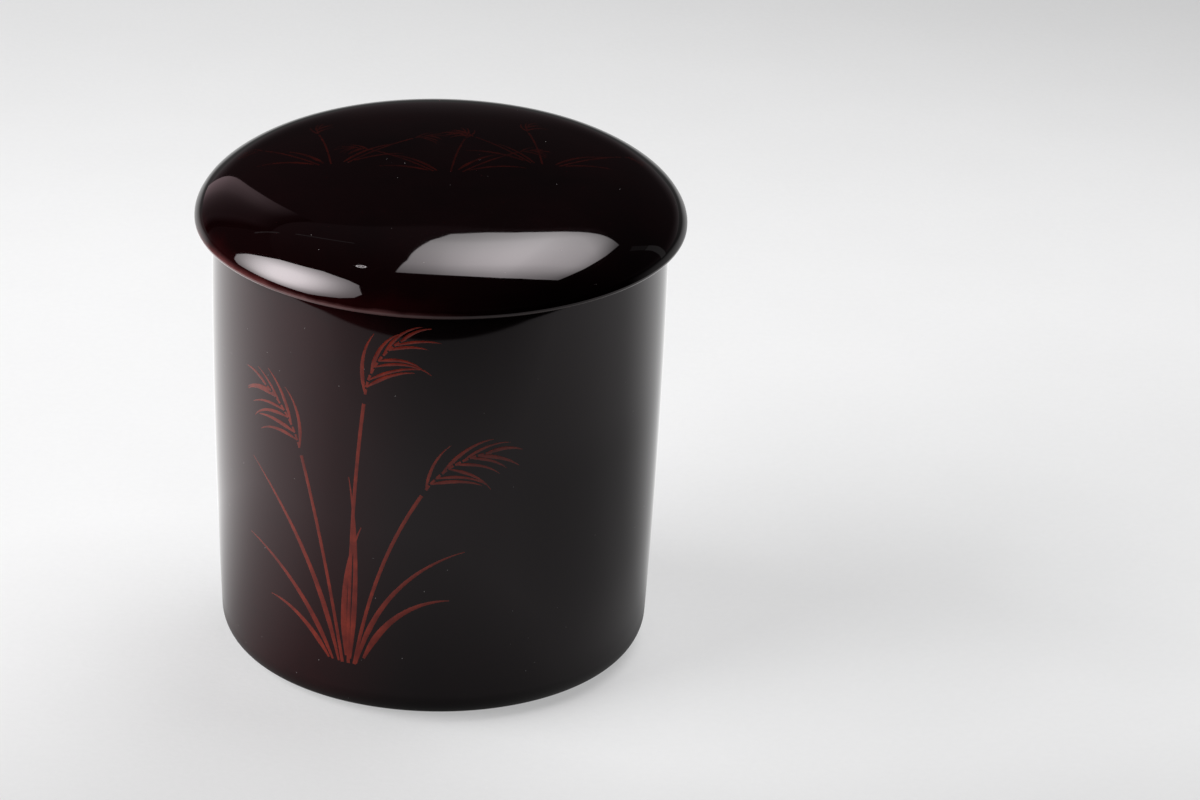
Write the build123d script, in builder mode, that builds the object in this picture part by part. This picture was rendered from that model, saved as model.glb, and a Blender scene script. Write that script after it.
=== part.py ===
from build123d import *
import math
import os

# A turned wooden tea caddy with a placed, domed lid, lacquered inside and out.
# Sizes are in mm and angles in degrees. Z = 0 is the table, and every piece is turned about Z.

# Lacquer
coat = 0.5  # ground and lacquer on the outside
lining = 0.4  # lacquer on the inside

# Cup, outside
shoulder_height = 66.7  # the flat shoulder that the lid stands on
shoulder_radius = 33.74
shoulder_round = 0.8
foot_radius = 26.8  # where the base round leaves the flat foot ring
base_round = 5.0
corner_turn = 86.7  # both corners turn the wall up to a little less than upright
foot_ring_width = 1.5
recess_depth = 0.8
recess_slope = 0.8

# Cup, inside
floor_height = 4.0
inner_foot_radius = 21.0
inner_corner = 8.0

# Neck ring, glued into a rebate in the mouth
neck_radius = 31.8
neck_thickness = 1.3
neck_rise = 3.2  # above the shoulder
neck_depth = 8.0  # below the shoulder
neck_edge_round = 0.45

# Lid, outside: three arcs from the widest circle to the crown
lid_radius = 36.35
hem_height = 0.77  # from the hem up to the widest circle
hem_round = 0.75
dome_edge_radius = 3.77
dome_edge_turn = 40.9
dome_haunch_radius = 15.95
dome_haunch_turn = 37.1

# Lid, inside
lid_wall = 3.0
fit_clearance = 0.08  # between the neck and the lid's bore, on the radius
seat_gap = 0.2  # over the neck, so that the hem carries the lid

neck_inner_radius = neck_radius - neck_thickness
neck_top = shoulder_height + neck_rise
rebate_height = shoulder_height - neck_depth
bore_radius = neck_radius + fit_clearance
seat_height = neck_top + seat_gap
widest_height = shoulder_height + hem_height
dome_crown_turn = 90 - dome_edge_turn - dome_haunch_turn

os.makedirs("parts", exist_ok=True)


def wall_line(foot, floor, corner, top_radius, top):
    """Draws a round corner and the gently curved wall that rises from it."""
    bend = JernArc((foot, floor), (1, 0), corner, corner_turn)
    return TangentArc(bend @ 1, (top_radius, top), tangent=bend % 1)


def dome_line(inset):
    """Draws the dome from the widest circle to the axis, moved inwards by inset."""
    edge = JernArc((lid_radius - inset, widest_height), (0, 1), dome_edge_radius - inset, dome_edge_turn)
    haunch = JernArc(edge @ 1, edge % 1, dome_haunch_radius - inset, dome_haunch_turn)
    crown_radius = (haunch @ 1).X / math.sin(math.radians(dome_crown_turn))
    return JernArc(haunch @ 1, haunch % 1, crown_radius, dome_crown_turn)


def cup_block(inset):
    """Half section of the cup before it is hollowed, moved inwards by inset."""
    ring_inner = foot_radius - foot_ring_width
    top = shoulder_height - inset
    with BuildSketch(Plane.XZ) as section:
        with BuildLine():
            Polyline(
                (0, top),
                (0, recess_depth + inset),
                (ring_inner - recess_slope, recess_depth + inset),
                (ring_inner, inset),
                (foot_radius, inset),
            )
            wall = wall_line(foot_radius, inset, base_round - inset, shoulder_radius - inset, top)
            Line(wall @ 1, (0, top))
        make_face()
    return section.sketch_local


def cup_space(growth):
    """Half section of the inside of the cup below the neck ring, grown by growth."""
    floor = floor_height - growth
    with BuildSketch(Plane.XZ) as section:
        with BuildLine():
            Polyline((0, rebate_height), (0, floor), (inner_foot_radius, floor))
            wall = wall_line(inner_foot_radius, floor, inner_corner + growth,
                             neck_inner_radius + growth, rebate_height)
            Line(wall @ 1, (0, rebate_height))
        make_face()
    return section.sketch_local


def lid_block(inset):
    """Half section of the lid before it is hollowed, moved inwards by inset."""
    hem = shoulder_height + inset
    widest = lid_radius - inset
    with BuildSketch(Plane.XZ) as section:
        with BuildLine():
            crown = dome_line(inset)
            Polyline(crown @ 1, (0, hem), (widest, hem), (widest, widest_height))
        make_face()
    return section.sketch_local


def lid_space(growth):
    """Half section of the inside of the lid, a bore under a domed ceiling, grown by growth."""
    ceiling = lid_wall - growth
    seat = seat_height + growth
    with BuildSketch(Plane.XZ) as section:
        with BuildLine():
            crown = dome_line(ceiling)
            Polyline(crown @ 1, (0, widest_height), (lid_radius - ceiling, widest_height))
        make_face()
        with Locations((0, seat)):
            Rectangle(lid_radius, lid_radius, align=Align.MIN, mode=Mode.INTERSECT)
        with Locations((0, shoulder_height)):
            Rectangle(bore_radius + growth, seat - shoulder_height, align=Align.MIN)
    return section.sketch_local


# The lacquer rounds the edges of the shoulder and the hem. The wood under it is sharp.
with BuildSketch(Plane.XZ) as cup_outside:
    add(cup_block(0))
    fillet(cup_outside.vertices().group_by(Axis.Y)[-1].sort_by(Axis.X)[-1], radius=shoulder_round)
with BuildSketch(Plane.XZ) as lid_outside:
    add(lid_block(0))
    fillet(lid_outside.vertices().group_by(Axis.X)[-1].sort_by(Axis.Y)[0], radius=hem_round)

cup_wood = cup_block(coat)
cup_inside = cup_space(0)
cup_wood_inside = cup_space(lining)
lid_wood = lid_block(coat)
lid_inside = lid_space(0)
lid_wood_inside = lid_space(lining)

# The cup's wood: turned from one block, with a rebate in the mouth for the neck ring
with BuildPart() as body_core:
    with BuildSketch(Plane.XZ):
        add(cup_wood)
        add(cup_wood_inside, mode=Mode.SUBTRACT)
        with Locations((0, rebate_height)):
            Rectangle(neck_radius, neck_depth, align=Align.MIN, mode=Mode.SUBTRACT)
    revolve(axis=Axis.Z)
body_core.part.label = "body_core"
export_step(body_core.part, "parts/body_core.step")

# The cup's outer lacquer: over the shoulder, down the wall and round to the foot ring
with BuildPart() as body_outer_lacquer:
    with BuildSketch(Plane.XZ):
        add(cup_outside.sketch_local)
        add(cup_wood, mode=Mode.SUBTRACT)
        Rectangle(foot_radius, floor_height, align=Align.MIN, mode=Mode.SUBTRACT)
        with Locations((0, rebate_height)):
            Rectangle(neck_radius, neck_depth, align=Align.MIN, mode=Mode.SUBTRACT)
    revolve(axis=Axis.Z)
body_outer_lacquer.part.label = "body_outer_lacquer"
export_step(body_outer_lacquer.part, "parts/body_outer_lacquer.step")

# The lacquer under the cup: the flat foot ring that stands on the table and the recess inside it
with BuildPart() as base_lacquer:
    with BuildSketch(Plane.XZ):
        add(cup_outside.sketch_local)
        add(cup_wood, mode=Mode.SUBTRACT)
        Rectangle(foot_radius, floor_height, align=Align.MIN, mode=Mode.INTERSECT)
    revolve(axis=Axis.Z)
base_lacquer.part.label = "base_lacquer"
export_step(base_lacquer.part, "parts/base_lacquer.step")

# The cup's lining: the floor, its round corner and the wall up to the neck ring
with BuildPart() as body_lining:
    with BuildSketch(Plane.XZ):
        add(cup_wood_inside)
        add(cup_inside, mode=Mode.SUBTRACT)
    revolve(axis=Axis.Z)
body_lining.part.label = "body_lining"
export_step(body_lining.part, "parts/body_lining.step")

# The neck ring: it stands up from the mouth and guides the lid
with BuildPart() as neck_ring:
    with BuildSketch(Plane.XZ) as neck_section:
        with Locations((neck_inner_radius, rebate_height)):
            Rectangle(neck_thickness, neck_depth + neck_rise, align=Align.MIN)
        fillet(neck_section.vertices().group_by(Axis.Y)[-1], radius=neck_edge_round)
    revolve(axis=Axis.Z)
neck_ring.part.label = "neck_ring"
export_step(neck_ring.part, "parts/neck_ring.step")

# The lid's wood: a thin turned dome that thickens towards its hem
with BuildPart() as lid_core:
    with BuildSketch(Plane.XZ):
        add(lid_wood)
        add(lid_wood_inside, mode=Mode.SUBTRACT)
    revolve(axis=Axis.Z)
lid_core.part.label = "lid_core"
export_step(lid_core.part, "parts/lid_core.step")

# The lid's outer lacquer: over the dome, round the widest circle and under the hem
with BuildPart() as lid_outer_lacquer:
    with BuildSketch(Plane.XZ):
        add(lid_outside.sketch_local)
        add(lid_wood, mode=Mode.SUBTRACT)
        add(lid_wood_inside, mode=Mode.SUBTRACT)
    revolve(axis=Axis.Z)
lid_outer_lacquer.part.label = "lid_outer_lacquer"
export_step(lid_outer_lacquer.part, "parts/lid_outer_lacquer.step")

# The lid's lining: the bore that slides over the neck ring, the seat above it and the ceiling
with BuildPart() as lid_lining:
    with BuildSketch(Plane.XZ):
        add(lid_wood_inside)
        add(lid_inside, mode=Mode.SUBTRACT)
    revolve(axis=Axis.Z)
lid_lining.part.label = "lid_lining"
export_step(lid_lining.part, "parts/lid_lining.step")
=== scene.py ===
from math import asin, atan2, ceil, cos, degrees, hypot, pi, radians, sin
from random import Random

import bmesh
import bpy
from mathutils import Euler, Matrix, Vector


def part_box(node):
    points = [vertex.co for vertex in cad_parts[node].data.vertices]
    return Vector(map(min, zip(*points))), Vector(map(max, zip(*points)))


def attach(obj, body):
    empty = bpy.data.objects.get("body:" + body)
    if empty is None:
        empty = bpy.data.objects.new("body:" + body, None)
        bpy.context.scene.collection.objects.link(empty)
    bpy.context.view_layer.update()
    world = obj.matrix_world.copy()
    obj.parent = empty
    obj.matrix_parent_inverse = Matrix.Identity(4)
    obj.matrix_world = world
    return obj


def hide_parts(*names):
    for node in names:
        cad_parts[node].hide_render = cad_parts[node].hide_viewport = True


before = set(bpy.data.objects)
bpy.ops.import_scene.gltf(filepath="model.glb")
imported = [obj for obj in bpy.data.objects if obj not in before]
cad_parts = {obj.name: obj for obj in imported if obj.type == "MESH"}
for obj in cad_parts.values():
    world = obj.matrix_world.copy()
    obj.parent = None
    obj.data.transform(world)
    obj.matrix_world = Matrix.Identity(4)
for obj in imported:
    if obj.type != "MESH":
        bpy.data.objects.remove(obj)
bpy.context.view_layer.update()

mm = 0.001
scene = bpy.context.scene


def metres(lengths):
    return [length * mm for length in lengths]


def circle(radius, sides):
    turns = [2 * pi * i / sides for i in range(sides)]
    return [(radius * cos(a), radius * sin(a)) for a in turns]


def addObject(name, data):
    thing = bpy.data.objects.new(name, data)
    scene.collection.objects.link(thing)
    return thing


def nodeSize(name):
    # radius, lowest and highest point of a CAD node, in mm
    low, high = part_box(name)
    return {"radius": high.x / mm, "bottom": low.z / mm, "top": high.z / mm}


# Small helpers for node trees

def feed(tree, value, socket):
    # a node stands for its first output
    if isinstance(value, bpy.types.Node):
        value = value.outputs[0]
    if isinstance(value, bpy.types.NodeSocket):
        tree.links.new(value, socket)
    else:
        socket.default_value = value


def addNode(tree, kind, inputs=None, **settings):
    node = tree.nodes.new(kind)
    for name, value in settings.items():
        setattr(node, name, value)
    for name, value in (inputs or {}).items():
        feed(tree, value, node.inputs[name])
    return node


def math(tree, operation, first, second=0.0):
    return addNode(tree, "ShaderNodeMath", {0: first, 1: second}, operation=operation).outputs[0]


def product(tree, first, *others):
    for other in others:
        first = math(tree, "MULTIPLY", first, other)
    return first


def vectorMath(tree, operation, first, second=(0, 0, 0)):
    return addNode(tree, "ShaderNodeVectorMath", {0: first, 1: second}, operation=operation).outputs


def dot(tree, first, second):
    return vectorMath(tree, "DOT_PRODUCT", first, second)["Value"]


def split(tree, vector):
    return addNode(tree, "ShaderNodeSeparateXYZ", {0: vector}).outputs


def objectPlace(tree):
    return addNode(tree, "ShaderNodeTexCoord").outputs["Object"]


def noiseAt(tree, place, scale, detail):
    return addNode(tree, "ShaderNodeTexNoise", {"Vector": place, "Scale": scale, "Detail": detail})


def remap(tree, value, fromLow, fromHigh, toLow, toHigh, smooth=False):
    style = "SMOOTHSTEP" if smooth else "LINEAR"
    node = addNode(tree, "ShaderNodeMapRange", {
        "Value": value, "From Min": fromLow, "From Max": fromHigh, "To Min": toLow, "To Max": toHigh,
    }, interpolation_type=style)
    return node.outputs["Result"]


def follow(tree, value, points):
    # a level that follows a smooth line through (place, level) points
    low, high = points[0][0], points[-1][0]
    top = max(level for place, level in points)
    node = addNode(tree, "ShaderNodeFloatCurve", {"Value": remap(tree, value, low, high, 0.0, 1.0)})
    line = node.mapping.curves[0].points
    line[0].location = (0.0, points[0][1] / top)
    line[-1].location = (1.0, points[-1][1] / top)
    for place, level in points[1:-1]:
        line.new((place - low) / (high - low), level / top)
    for point in line:
        point.handle_type = "AUTO_CLAMPED"
    node.mapping.update()
    return product(tree, node, top)


def blend(tree, amount, first, second):
    # mixes two colours
    return addNode(tree, "ShaderNodeMix", {0: amount, 6: first, 7: second}, data_type="RGBA").outputs[2]


def rgb(red, green, blue):
    return (red, green, blue, 1.0)


def newGroup(name, kind, inputs, outputs):
    group = bpy.data.node_groups.new(name, kind)
    for label, socketKind, default in inputs:
        socket = group.interface.new_socket(label, in_out="INPUT", socket_type="NodeSocket" + socketKind)
        if default is not None:
            socket.default_value = default
    for label, socketKind in outputs:
        group.interface.new_socket(label, in_out="OUTPUT", socket_type="NodeSocket" + socketKind)
    return group, group.nodes.new("NodeGroupInput").outputs, group.nodes.new("NodeGroupOutput").inputs


def useGroup(tree, group, inputs=None):
    node = addNode(tree, "ShaderNodeGroup", node_tree=group)
    for name, value in (inputs or {}).items():
        node.inputs[name].default_value = value
    return node.outputs


def finishTree(tree, geometry, given, result):
    # how both Geometry Nodes trees end: smooth but for sharp edges, a plain mesh, and in its finish
    edge = addNode(tree, "GeometryNodeInputMeshEdgeAngle").outputs["Unsigned Angle"]
    gentle = addNode(tree, "FunctionNodeCompare", {0: edge, 1: given["Crease"]}, operation="LESS_THAN")
    faces = addNode(tree, "GeometryNodeSetShadeSmooth", {
        "Geometry": geometry, "Shade Smooth": True,
    }, domain="FACE")
    edges = addNode(tree, "GeometryNodeSetShadeSmooth", {
        "Geometry": faces, "Shade Smooth": gentle,
    }, domain="EDGE")
    realized = addNode(tree, "GeometryNodeRealizeInstances", {"Geometry": edges})
    feed(tree, addNode(tree, "GeometryNodeSetMaterial", {
        "Geometry": realized, "Material": given["Finish"],
    }), result[0])


# Outlines: half sections in the XZ plane, drawn like a turtle, in mm

outlineDetail = {"turn": 1.2, "length": 1.0}  # longest step along an arc in degrees, and anywhere in mm


class Outline:
    def __init__(self, radius, height, heading=0.0):
        self.points = [(radius, height)]
        self.heading = heading

    def lineTo(self, radius, height):
        r, z = self.points[-1]
        length = hypot(radius - r, height - z)
        count = max(1, ceil(length / outlineDetail["length"]))
        for i in range(1, count + 1):
            self.points.append((r + (radius - r) * i / count, z + (height - z) * i / count))
        self.heading = degrees(atan2(height - z, radius - r))
        return self

    def linesTo(self, *places):
        for radius, height in places:
            self.lineTo(radius, height)
        return self

    def bend(self, radius, turn):
        # an arc to the left of the heading
        r, z = self.points[-1]
        start = radians(self.heading)
        middle = (r - radius * sin(start), z + radius * cos(start))
        byLength = radius * radians(abs(turn)) / outlineDetail["length"]
        count = ceil(max(abs(turn) / outlineDetail["turn"], byLength))
        for i in range(1, count + 1):
            angle = start + radians(turn) * i / count
            self.points.append((middle[0] + radius * sin(angle), middle[1] - radius * cos(angle)))
        self.heading += turn
        return self

    def bendTo(self, radius, height):
        # the arc that leaves along the heading and ends at a point
        r, z = self.points[-1]
        chord = degrees(atan2(height - z, radius - r))
        turn = 2 * (chord - self.heading)
        reach = hypot(radius - r, height - z) / (2 * sin(radians(turn / 2)))
        return self.bend(reach, turn)

    def join(self, points):
        self.points += points
        return self


# The lathe: turns an outline about Z, welds its seam and poles, and creases its sharp edges

def makeLatheTree():
    tree, given, result = newGroup("turnOnLathe", "GeometryNodeTree", [
        ("Outline", "Geometry", None), ("Steps", "Int", 256), ("Weld", "Float", 1e-6),
        ("Crease", "Float", radians(30)), ("Finish", "Material", None),
    ], [("Turned", "Geometry")])
    size = addNode(tree, "GeometryNodeAttributeDomainSize", {"Geometry": given["Outline"]})
    count = size.outputs["Point Count"]
    rings = math(tree, "ADD", given["Steps"], 1.0)
    grid = addNode(tree, "GeometryNodeMeshGrid", {"Vertices X": rings, "Vertices Y": count})
    index = addNode(tree, "GeometryNodeInputIndex")
    along = math(tree, "FLOORED_MODULO", index, count)
    ring = math(tree, "FLOOR", math(tree, "DIVIDE", index, count))
    place = addNode(tree, "GeometryNodeInputPosition")
    pick = addNode(tree, "GeometryNodeSampleIndex", {
        "Geometry": given["Outline"], "Value": place, "Index": along,
    }, data_type="FLOAT_VECTOR", domain="POINT")
    angle = product(tree, math(tree, "DIVIDE", ring, given["Steps"]), 2 * pi)
    turned = addNode(tree, "ShaderNodeVectorRotate", {
        "Vector": pick.outputs["Value"], "Angle": angle,
    }, rotation_type="Z_AXIS")
    shaped = addNode(tree, "GeometryNodeSetPosition", {
        "Geometry": grid.outputs["Mesh"], "Position": turned,
    })
    welded = addNode(tree, "GeometryNodeMergeByDistance", {
        "Geometry": shaped, "Distance": given["Weld"],
    })
    finishTree(tree, welded, given, result)
    return tree


def runTree(name, mesh, tree, inputs):
    # runs a Geometry Nodes tree once and keeps what it makes as a plain mesh
    piece = addObject(name, mesh)
    modifier = piece.modifiers.new("Build", "NODES")
    modifier.node_group = tree
    sockets = {item.name: item.identifier for item in tree.interface.items_tree if item.in_out == "INPUT"}
    for label, value in inputs.items():
        modifier[sockets[label]] = value
    view = bpy.context.evaluated_depsgraph_get()
    made = bpy.data.meshes.new_from_object(piece.evaluated_get(view))
    piece.modifiers.remove(modifier)
    piece.data = made
    made.name = name
    return piece


sameSpot = 1e-7  # points closer than this are one, in m


def pointOutwards(mesh):
    work = bmesh.new()
    work.from_mesh(mesh)
    bmesh.ops.remove_doubles(work, verts=work.verts, dist=sameSpot)
    bmesh.ops.recalc_face_normals(work, faces=work.faces)
    work.to_mesh(mesh)
    work.free()


latheTree = makeLatheTree()
latheSteps = 256


def turn(name, points, finish, closed=False):
    places = [Vector((r * mm, 0, z * mm)) for r, z in points]
    if closed:
        places.append(places[0].copy())
    outline = bpy.data.meshes.new(name + "_outline")
    outline.from_pydata(places, [(i, i + 1) for i in range(len(places) - 1)], [])
    piece = runTree(name, outline, latheTree, {"Steps": latheSteps, "Finish": finish})
    pointOutwards(piece.data)
    return piece


# Effects that several finishes share

mostNoise = (0.3, 0.7)  # where nearly all values of a noise lie
cloudRange = (0.32, 0.68)  # the values of its noise that count as none and full
edgeWaves = 240.0  # the scale of an edge's uneven border
speckFade = (0.6, 1.0)  # where a speck of dust fades, as a share of its size
hairline = {
    "directions": ((0.4, 0.9, 0.2), (1.3, 0.2, 2.1)), "fineness": (5200.0, 110.0, 110.0),
    "shown": (0.72, 0.8), "waves": 70.0,
}


def makeCloudGroup():
    # slow changes of depth in a hand-laid coat, 0 to 1
    group, given, result = newGroup("lacquerCloud", "ShaderNodeTree", [
        ("Scale", "Float", 60.0), ("Detail", "Float", 4.0),
    ], [("Value", "Float")])
    noise = addNode(group, "ShaderNodeTexNoise", {
        "Vector": objectPlace(group), "Scale": given["Scale"], "Detail": given["Detail"],
        "Roughness": 0.55,
    })
    feed(group, remap(group, noise, *cloudRange, 0.0, 1.0), result[0])
    return group


def makeEdgeGroup():
    # how near a height is, with an uneven border: the mask for a band along an edge, used for the neck's
    # wear, the lid's thin red edge, and painted light and a painted highlight
    group, given, result = newGroup("edgeBand", "ShaderNodeTree", [
        ("Height", "Float", 0.0), ("Reach", "Float", 1.0), ("Unevenness", "Float", 0.3),
    ], [("Mask", "Float")])
    place = objectPlace(group)
    wave = remap(group, noiseAt(group, place, edgeWaves, 3.0), *mostNoise, -1.0, 1.0)
    wave = product(group, wave, given["Unevenness"])
    inMm = product(group, split(group, place)["Z"], 1 / mm)
    gap = math(group, "ABSOLUTE", math(group, "SUBTRACT", inMm, given["Height"]))
    share = math(group, "DIVIDE", math(group, "ADD", gap, wave), given["Reach"])
    feed(group, remap(group, share, 0.0, 1.0, 1.0, 0.0, smooth=True), result[0])
    return group


def makeDustGroup():
    # specks of dust: small balls scattered in space, seen where the surface cuts them
    group, given, result = newGroup("dustSpecks", "ShaderNodeTree", [
        ("Spacing", "Float", 2.2), ("Size", "Float", 0.07),
    ], [("Mask", "Float")])
    scale = math(group, "DIVIDE", 1 / mm, given["Spacing"])
    cells = addNode(group, "ShaderNodeTexVoronoi", {"Vector": objectPlace(group), "Scale": scale})
    reach = math(group, "DIVIDE", given["Size"], given["Spacing"])
    share = math(group, "DIVIDE", cells.outputs["Distance"], reach)
    feed(group, remap(group, share, *speckFade, 1.0, 0.0, smooth=True), result[0])
    return group


def makeHairlineGroup():
    # sparse hairlines from wiping and the faint waviness of a polished coat
    group, given, result = newGroup("hairlines", "ShaderNodeTree", [
        ("Waviness", "Float", 1.0), ("Lines", "Float", 0.2),
    ], [("Height", "Float")])
    place = objectPlace(group)
    total = product(group, noiseAt(group, place, hairline["waves"], 1.0), given["Waviness"])
    for turnedBy in hairline["directions"]:
        mapping = addNode(group, "ShaderNodeMapping", {
            "Vector": place, "Rotation": turnedBy, "Scale": hairline["fineness"],
        })
        line = remap(group, noiseAt(group, mapping, 1.0, 0.0), *hairline["shown"], 0.0, 1.0)
        total = math(group, "SUBTRACT", total, product(group, line, given["Lines"]))
    feed(group, total, result[0])
    return group


cloudGroup = makeCloudGroup()
edgeGroup = makeEdgeGroup()
dustGroup = makeDustGroup()
hairlineGroup = makeHairlineGroup()


# Finishes

def newMaterial(name):
    material = bpy.data.materials.new(name)
    material.use_nodes = True
    material.node_tree.nodes.clear()
    return material, material.node_tree


def closeMaterial(tree, shader):
    addNode(tree, "ShaderNodeOutputMaterial", {"Surface": shader})


def closeCoat(tree, colour, roughness, height, relief, gloss=None):
    bump = addNode(tree, "ShaderNodeBump", {"Height": height, "Distance": relief * mm})
    closeMaterial(tree, addNode(tree, "ShaderNodeBsdfPrincipled", {
        "Base Color": colour, "Roughness": roughness, "Normal": bump, **(gloss or {}),
    }))


coatDetail = {
    "litSideTowards": (-0.86, -0.51, 0.0),  # the lit side, which the bands paint redder: painted light
    "bandUneven": 0.2,  # how uneven a band's border is, as a share of its reach
    "dustShows": 0.8, "dustDulls": 0.5, "relief": 0.004, "waviness": 1.0, "ior": 1.5,
}


def makeLacquer(name, look):
    material, tree = newMaterial(name)
    cloud = useGroup(tree, cloudGroup, {"Scale": look["cloudScale"]})[0]
    dust = useGroup(tree, dustGroup, {"Spacing": look["dustSpacing"], "Size": look["dustSize"]})[0]
    colour = blend(tree, cloud, look["deep"], look["clear"])
    # how far a place lies towards the lit side, for the bands of painted light
    across = dot(tree, objectPlace(tree), coatDetail["litSideTowards"])
    for band in look["bands"]:
        # a band round an edge, more down one side where it has from and to: the neck's wear, the lid's thin
        # red edge, and painted light on the lit side with a painted highlight along the lid's hem
        edge = useGroup(tree, edgeGroup, {
            "Height": band["height"], "Reach": band["reach"],
            "Unevenness": coatDetail["bandUneven"] * band["reach"],
        })[0]
        share = product(tree, edge, band["share"])
        if "from" in band:
            side = remap(tree, across, band["from"] * mm, band["to"] * mm, 0.0, 1.0, smooth=True)
            share = product(tree, share, side)
        colour = blend(tree, share, colour, band["colour"])
    colour = blend(tree, product(tree, dust, coatDetail["dustShows"]), colour, look["dustColour"])
    shine = remap(tree, cloud, 0.0, 1.0, *look["roughness"])
    shine = math(tree, "ADD", shine, product(tree, dust, coatDetail["dustDulls"]))
    lines = useGroup(tree, hairlineGroup, {"Waviness": coatDetail["waviness"], "Lines": look["lines"]})[0]
    gloss = {"IOR": coatDetail["ior"], "Specular Tint": look["tint"]}
    closeCoat(tree, colour, shine, lines, coatDetail["relief"], gloss)
    return material


def makeWood(name, look):
    # plain pale turning wood: rings about a heart that lies beside the caddy, with long fibres
    material, tree = newMaterial(name)
    place = objectPlace(tree)
    mapping = addNode(tree, "ShaderNodeMapping", {"Vector": place, "Location": look["heart"]})
    rings = addNode(tree, "ShaderNodeTexWave", {
        "Vector": mapping, "Scale": look["ringScale"], "Distortion": 3.0,
        "Detail": 2.0, "Detail Scale": 1.5,
    }, wave_type="RINGS", rings_direction="Z")
    stretched = addNode(tree, "ShaderNodeMapping", {"Vector": place, "Scale": (1.0, 1.0, look["stretch"])})
    fibre = noiseAt(tree, stretched, look["fibreScale"], 3.0)
    colour = blend(tree, rings.outputs["Fac"], look["early"], look["late"])
    colour = blend(tree, product(tree, fibre, look["fibreShows"]), colour, look["fibre"])
    roughness = remap(tree, fibre, *mostNoise, *look["roughness"])
    closeCoat(tree, colour, roughness, fibre, look["relief"])
    return material


brushMarks = {"cloud": 420.0, "streak": 2600.0, "streakShows": 0.3}


def makeBrushLacquer(name, look):
    # coloured lacquer laid with a fine brush: thinner and darker where the brush ran dry
    material, tree = newMaterial(name)
    cloud = useGroup(tree, cloudGroup, {"Scale": brushMarks["cloud"]})[0]
    streak = useGroup(tree, cloudGroup, {"Scale": brushMarks["streak"], "Detail": 1.0})[0]
    colour = blend(tree, cloud, look["dry"], look["full"])
    colour = blend(tree, product(tree, streak, brushMarks["streakShows"]), colour, look["dry"])
    roughness = remap(tree, cloud, 0.0, 1.0, *look["roughness"])
    closeCoat(tree, colour, roughness, streak, look["relief"])
    return material


lid = {
    "hemRound": 0.75, "edgeRadius": 3.77, "edgeTurn": 40.9, "haunchRadius": 15.95, "haunchTurn": 37.1,
    "hemToWidest": 0.77, "wall": 3.0, "arcsMeetOver": 3.0, "seatGap": 0.2,
}
cup = {"baseRound": 5.0, "cornerTurn": 86.7, "shoulderRound": 0.8}
cupInside = {"footRadius": 21.0, "corner": 8.0}
liningCoat = 0.4  # the lacquer inside the cup and the lid
neck = {"thickness": 1.3, "edgeRound": 0.45}
foot = {"ringWidth": 1.5, "recess": 0.8, "slope": 0.8}

lidSize = nodeSize("lid_outer_lacquer")
lidWoodSize = nodeSize("lid_core")
lidLiningSize = nodeSize("lid_lining")
cupSize = nodeSize("body_outer_lacquer")
cupLiningSize = nodeSize("body_lining")
neckSize = nodeSize("neck_ring")
footSize = nodeSize("base_lacquer")
coat = lidSize["radius"] - lidWoodSize["radius"]
hemHeight = lidSize["bottom"]
widestHeight = hemHeight + lid["hemToWidest"]
lidSeat = neckSize["top"] + lid["seatGap"]  # the seat stays clear of the neck

lidLacquer = makeLacquer("red_black_lacquer_lid", {
    "deep": rgb(0.0012, 0.0004, 0.0005), "clear": rgb(0.0034, 0.0008, 0.0010),
    # red and pale bands along the hem, wide and faint first, in mm; from and to lie towards the lit side.
    # The red is partly the lacquer's own red at its thin edge and partly painted light, stronger on the lit
    # side; the pale lines are a painted highlight along the hem
    "bands": [
        {"height": hemHeight + 3.0, "reach": 10.0, "share": 0.8, "from": 0, "to": 36,
         "colour": rgb(0.0045, 0.0009, 0.0011)},
        {"height": hemHeight + 0.8, "reach": 3.2, "share": 0.8, "from": 8, "to": 36,
         "colour": rgb(0.017, 0.0014, 0.0018)},
        # painted highlight: a pale line all round the hem
        {"height": hemHeight + 0.2, "reach": 0.65, "share": 0.8, "colour": rgb(0.060, 0.034, 0.032)},
        {"height": hemHeight + 0.6, "reach": 1.2, "share": 0.8, "from": 33.5, "to": 36,
         "colour": rgb(0.15, 0.035, 0.035)},
        # painted highlight: the hem's pale line, brighter on the lit side
        {"height": hemHeight + 0.3, "reach": 0.95, "share": 0.9, "from": 12, "to": 35,
         "colour": rgb(0.20, 0.085, 0.085)},
    ],
    "cloudScale": 55.0, "dustSpacing": 2.8, "dustSize": 0.08, "dustColour": rgb(0.22, 0.2, 0.2),
    "roughness": (0.025, 0.04), "lines": 0.004, "tint": rgb(1.0, 0.91, 0.94),
})
cupLacquer = makeLacquer("red_black_lacquer_cup", {
    "deep": rgb(0.0040, 0.0026, 0.0028), "clear": rgb(0.0065, 0.0034, 0.0038),
    # painted light: the cup's lit side painted redder, over its whole height
    "bands": [
        {"height": 35, "reach": 400, "share": 1.0, "from": 18, "to": 34,
         "colour": rgb(0.023, 0.0034, 0.0042)},
    ],
    "cloudScale": 45.0, "dustSpacing": 2.6, "dustSize": 0.09, "dustColour": rgb(0.3, 0.28, 0.28),
    "roughness": (0.02, 0.035), "lines": 0.004, "tint": rgb(1.0, 0.91, 0.94),
})
blackLacquer = makeLacquer("black_lacquer", {
    "deep": rgb(0.0040, 0.0032, 0.0032), "clear": rgb(0.0070, 0.0052, 0.0050),
    "bands": [{"height": neckSize["top"], "reach": 0.6, "share": 0.5, "colour": rgb(0.020, 0.008, 0.006)}],
    "cloudScale": 70.0, "dustSpacing": 3.0, "dustSize": 0.06, "dustColour": rgb(0.2, 0.19, 0.18),
    "roughness": (0.08, 0.14), "lines": 0.01, "tint": rgb(1.0, 1.0, 1.0),
})
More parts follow.
